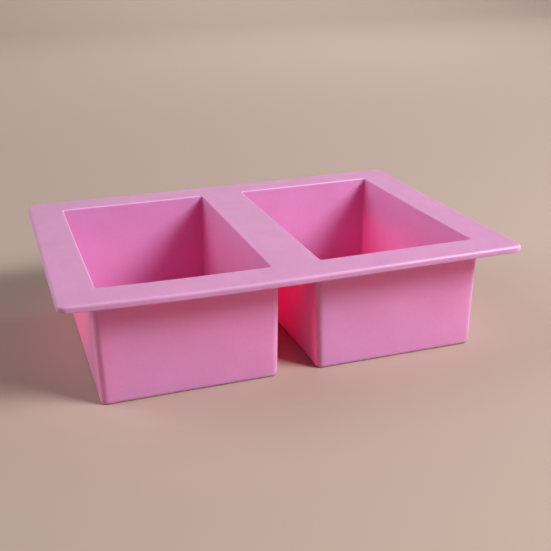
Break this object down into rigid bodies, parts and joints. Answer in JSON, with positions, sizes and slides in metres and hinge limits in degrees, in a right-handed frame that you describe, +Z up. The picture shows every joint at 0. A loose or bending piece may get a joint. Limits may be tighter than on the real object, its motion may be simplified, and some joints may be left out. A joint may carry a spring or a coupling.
{
  "type": "soap loaf mould",
  "caption": "Flexible mould with open rectangular loaf-shaped cavities side by side under one flat round-edged flange, for casting soap, wax or resin.",
  "frame": {"origin": "middle of the surface that the two cups stand on", "axes": "+X along the flange from the left cup to the right cup, +Y towards the back, +Z up out of the cavities"},
  "size_m": [0.23, 0.17, 0.058],
  "materials": {
    "silicone": "satin, slightly translucent pink silicone"
  },
  "bodies": {
    "root": {"rim_flange": "silicone", "centre_bridge": "silicone", "left_cup_wall": "silicone", "left_cup_floor": "silicone", "right_cup_wall": "silicone", "right_cup_floor": "silicone"}
  },
  "joints": []
}
